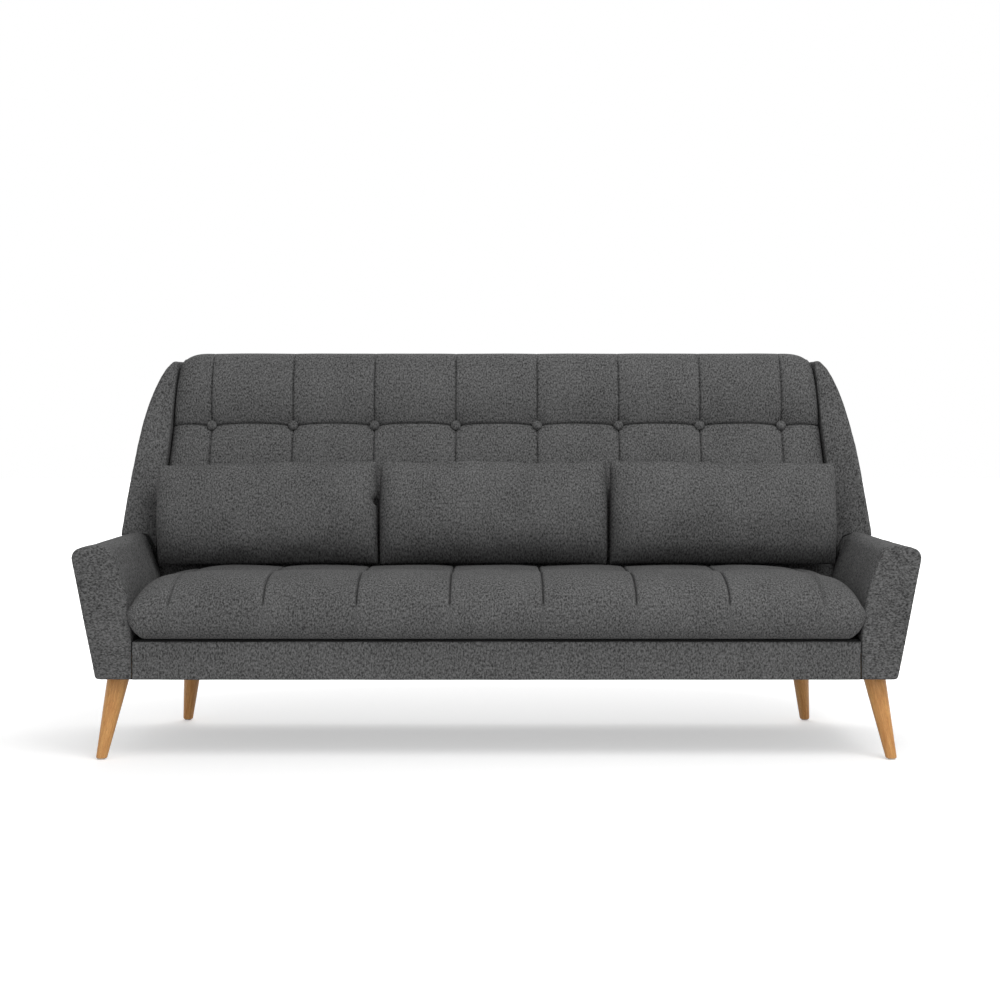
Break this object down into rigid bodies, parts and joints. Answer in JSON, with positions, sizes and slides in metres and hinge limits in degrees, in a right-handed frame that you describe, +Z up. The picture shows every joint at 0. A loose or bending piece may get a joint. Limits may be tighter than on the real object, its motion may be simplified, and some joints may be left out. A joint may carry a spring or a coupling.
{
  "type": "upholstered sofa",
  "caption": "Upholstered sofa with a quilted, buttoned back, wings, leaning arms, a quilted bench seat, loose lumbar cushions and splayed tapered wooden legs.",
  "frame": {"origin": "on the floor under the middle of the sofa's bounding box", "axes": "+X along the seat to the right as seen from the front, +Y to the back, +Z up"},
  "size_m": [2.0004, 0.8406, 0.9901],
  "materials": {
    "upholstery": "matte",
    "leg_oak": "satin",
    "glide": "matte",
    "frame_timber": "matte",
    "plywood": "matte",
    "filling": "matte",
    "deck_cloth": "matte",
    "webbing": "matte",
    "dust_cloth": "matte",
    "twine": "matte",
    "steel": "satin"
  },
  "bodies": {
    "frame": {"arm_bolts": "steel", "back_bolts": "steel", "back_buttons": "upholstery", "back_posts": "frame_timber", "back_top_border": "upholstery", "back_top_rail": "frame_timber", "back_tuck_rail": "frame_timber", "back_webbing": "webbing", "base_cross_rails": "frame_timber", "base_front_rail": "frame_timber", "base_rear_rail": "frame_timber", "base_tie_rail": "frame_timber", "button_ties": "twine", "dust_cover": "dust_cloth", "foot_glides": "glide", "front_apron": "upholstery", "front_left_leg": "leg_oak", "front_right_leg": "leg_oak", "hanger_bolts": "steel", "inside_back_pad": "upholstery", "left_arm_bottom_rail": "frame_timber", "left_arm_cover": "upholstery", "left_arm_front_panel": "upholstery", "left_arm_front_plate": "plywood", "left_arm_rear_plate": "plywood", "left_arm_top_rail": "frame_timber", "left_back_side_panel": "plywood", "left_base_side_rail": "frame_timber", "left_rear_leg_block": "frame_timber", "left_wing": "upholstery", "left_wing_base": "upholstery", "leg_plates": "steel", "outside_back_panel": "upholstery", "plate_screws": "steel", "rear_left_leg": "leg_oak", "rear_right_leg": "leg_oak", "right_arm_bottom_rail": "frame_timber", "right_arm_cover": "upholstery", "right_arm_front_panel": "upholstery", "right_arm_front_plate": "plywood", "right_arm_rear_plate": "plywood", "right_arm_top_rail": "frame_timber", "right_back_side_panel": "plywood", "right_base_side_rail": "frame_timber", "right_rear_leg_block": "frame_timber", "right_wing": "upholstery", "right_wing_base": "upholstery", "seat_deck_pad": "deck_cloth", "seat_webbing": "webbing"},
    "seat_cushion": {"seat_cushion_cover": "upholstery", "seat_cushion_core": "filling"},
    "left_lumbar_cushion": {"left_lumbar_cover": "upholstery", "left_lumbar_insert": "filling"},
    "middle_lumbar_cushion": {"middle_lumbar_cover": "upholstery", "middle_lumbar_insert": "filling"},
    "right_lumbar_cushion": {"right_lumbar_cover": "upholstery", "right_lumbar_insert": "filling"}
  },
  "joints": [
    {"name": "seat_cushion_lift", "type": "slide", "parent": "frame", "child": "seat_cushion", "axis": [0, 0, 1], "range_m": [0, 0.3]},
    {"name": "left_lumbar_lift", "type": "slide", "parent": "seat_cushion", "child": "left_lumbar_cushion", "axis": [0, 0, 1], "range_m": [0, 0.55]},
    {"name": "middle_lumbar_lift", "type": "slide", "parent": "seat_cushion", "child": "middle_lumbar_cushion", "axis": [0, 0, 1], "range_m": [0, 0.55]},
    {"name": "right_lumbar_lift", "type": "slide", "parent": "seat_cushion", "child": "right_lumbar_cushion", "axis": [0, 0, 1], "range_m": [0, 0.55]}
  ]
}
